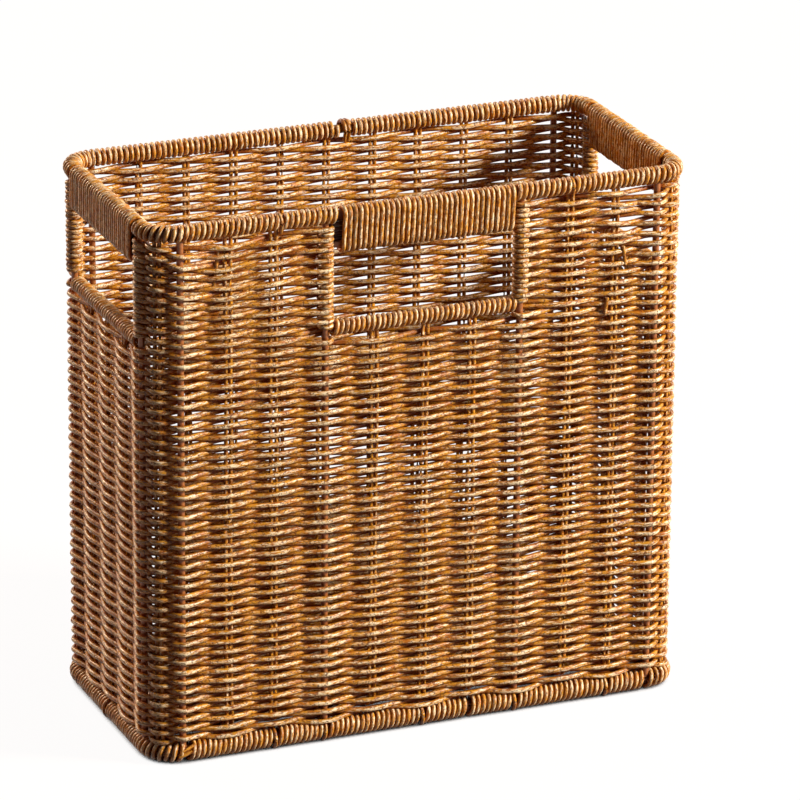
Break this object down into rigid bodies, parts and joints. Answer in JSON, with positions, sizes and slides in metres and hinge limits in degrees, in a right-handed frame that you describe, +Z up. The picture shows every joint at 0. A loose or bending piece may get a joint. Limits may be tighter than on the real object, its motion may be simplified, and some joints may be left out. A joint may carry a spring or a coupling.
{
  "type": "magazine basket",
  "caption": "Tall narrow rectangular basket of plain-woven resin cane on a wire frame, with wrapped rims and a wrapped hand hole in the front and in each end.",
  "frame": {"origin": "on the floor, under the middle of the basket", "axes": "+X along the width towards the right end as seen from the front, -Y towards the front with its hand hole, +Z up"},
  "size_m": [0.3, 0.14, 0.29],
  "materials": {
    "woven_cane": "extruded resin cane, golden brown with darker flecks, semi-matt",
    "wrapped_cane": "extruded resin cane wound tight, golden brown with darker flecks, slight gloss",
    "coated_wire": "steel wire with an orange-brown powder coat, satin"
  },
  "bodies": {
    "root": {"back_left_corner_stake": "woven_cane", "back_left_corner_wall": "woven_cane", "back_left_post": "coated_wire", "back_left_rim_wrap": "wrapped_cane", "back_right_corner_stake": "woven_cane", "back_right_corner_wall": "woven_cane", "back_right_post": "coated_wire", "back_right_rim_wrap": "wrapped_cane", "back_wall": "woven_cane", "base_rim_wire": "coated_wire", "base_rim_wrap": "wrapped_cane", "floor": "woven_cane", "floor_stake_1": "woven_cane", "floor_stake_2": "woven_cane", "floor_stake_3": "woven_cane", "floor_stake_4": "woven_cane", "floor_stake_5": "woven_cane", "floor_stake_6": "woven_cane", "floor_stake_7": "woven_cane", "floor_stake_8": "woven_cane", "floor_stake_9": "woven_cane", "front_centre_wall": "woven_cane", "front_grip_bar": "coated_wire", "front_grip_wrap": "wrapped_cane", "front_left_corner_stake": "woven_cane", "front_left_corner_wall": "woven_cane", "front_left_jamb": "coated_wire", "front_left_post": "coated_wire", "front_left_rim_wrap": "wrapped_cane", "front_left_wall": "woven_cane", "front_right_corner_stake": "woven_cane", "front_right_corner_wall": "woven_cane", "front_right_jamb": "coated_wire", "front_right_post": "coated_wire", "front_right_rim_wrap": "wrapped_cane", "front_right_wall": "woven_cane", "front_sill_bar": "coated_wire", "front_sill_wrap": "wrapped_cane", "left_back_jamb": "coated_wire", "left_front_jamb": "coated_wire", "left_grip_bar": "coated_wire", "left_grip_wrap": "wrapped_cane", "left_sill_bar": "coated_wire", "left_sill_wrap": "wrapped_cane", "left_stake_1": "woven_cane", "left_stake_2": "woven_cane", "left_stake_3": "woven_cane", "left_wall": "woven_cane", "right_back_jamb": "coated_wire", "right_front_jamb": "coated_wire", "right_grip_bar": "coated_wire", "right_grip_wrap": "wrapped_cane", "right_sill_bar": "coated_wire", "right_sill_wrap": "wrapped_cane", "right_stake_1": "woven_cane", "right_stake_2": "woven_cane", "right_stake_3": "woven_cane", "right_wall": "woven_cane", "top_rim_wire": "coated_wire"}
  },
  "joints": []
}
